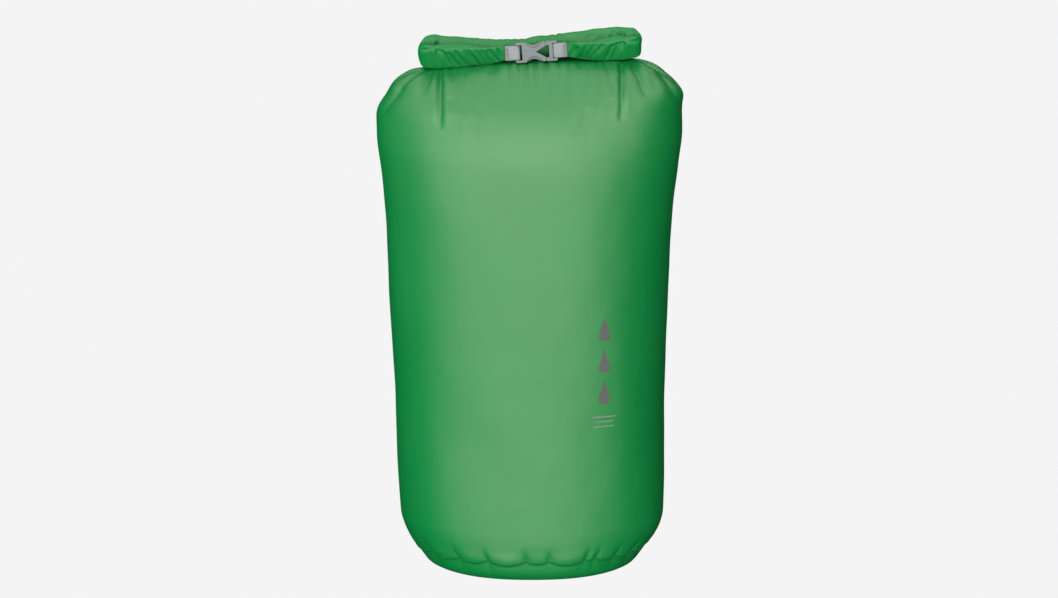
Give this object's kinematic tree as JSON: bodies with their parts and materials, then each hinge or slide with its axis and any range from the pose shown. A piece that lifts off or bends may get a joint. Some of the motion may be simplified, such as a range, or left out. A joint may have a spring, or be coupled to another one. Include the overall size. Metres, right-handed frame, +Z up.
{
  "type": "dry bag",
  "caption": "Filled roll-top dry bag on an oval base: mouth rolled down in front of a flat neck, roll ends folded forward and joined by a side-release buckle.",
  "frame": {"origin": "on the floor under the middle of the bag, at the bottom centre of its bounding box", "axes": "+Z up along the bag; +X to the right of someone facing the buckle; -Y is the front, where the roll and the buckle are"},
  "size_m": [0.32, 0.226, 0.5668],
  "materials": {
    "coated_nylon": "thin green nylon with a satin waterproof coating",
    "seam_tape": "translucent heat-sealed tape",
    "mouth_strip": "flexible laminate strip",
    "webbing": "pale grey woven nylon",
    "moulded_plastic": "satin moulded acetal"
  },
  "bodies": {
    "bag": {"front_panel": "coated_nylon", "back_panel": "coated_nylon", "base_panel": "coated_nylon", "left_side_tape": "seam_tape", "right_side_tape": "seam_tape", "base_tape": "seam_tape"},
    "roll": {"roll_turns": "coated_nylon", "front_stiffener": "mouth_strip", "back_stiffener": "mouth_strip"},
    "carry_loop": {"left_fold": "coated_nylon", "right_fold": "coated_nylon", "left_roll_end": "coated_nylon", "left_tab": "webbing", "buckle_female": "moulded_plastic"},
    "male_side": {"right_roll_end": "coated_nylon", "right_tab": "webbing", "buckle_male": "moulded_plastic"},
    "upper_prong_arm": {"upper_prong": "moulded_plastic"},
    "lower_prong_arm": {"lower_prong": "moulded_plastic"}
  },
  "joints": [
    {"name": "unroll", "type": "hinge", "parent": "bag", "child": "roll", "pos_m": [0.001, -0.006, 0.5575], "axis": [-0.9992, 0, -0.0401], "range_deg": [0, 180]},
    {"name": "loop_lift", "type": "hinge", "parent": "roll", "child": "carry_loop", "pos_m": [0.001, -0.006, 0.5575], "axis": [-0.9992, 0, -0.0401], "range_deg": [0, 45]},
    {"name": "buckle_release", "type": "slide", "parent": "carry_loop", "child": "male_side", "axis": [0.9978, 0, 0.0663], "range_m": [0, 0.025], "deforming": ["right_fold", "upper_prong", "lower_prong"]},
    {"name": "prong_squeeze", "type": "hinge", "parent": "male_side", "child": "upper_prong_arm", "pos_m": [0.01996, -0.0185, 0.5536], "axis": [0, -1, 0], "range_deg": [0, 8], "stiffness_Nm_per_rad": 1},
    {"name": "lower_prong_squeeze", "type": "hinge", "parent": "male_side", "child": "lower_prong_arm", "pos_m": [0.02102, -0.0185, 0.53763], "axis": [0, 1, 0], "range_deg": [0, 8], "stiffness_Nm_per_rad": 1}
  ],
  "couplings": [
    {"joint": "lower_prong_squeeze", "follows": "prong_squeeze", "ratio": 1}
  ]
}
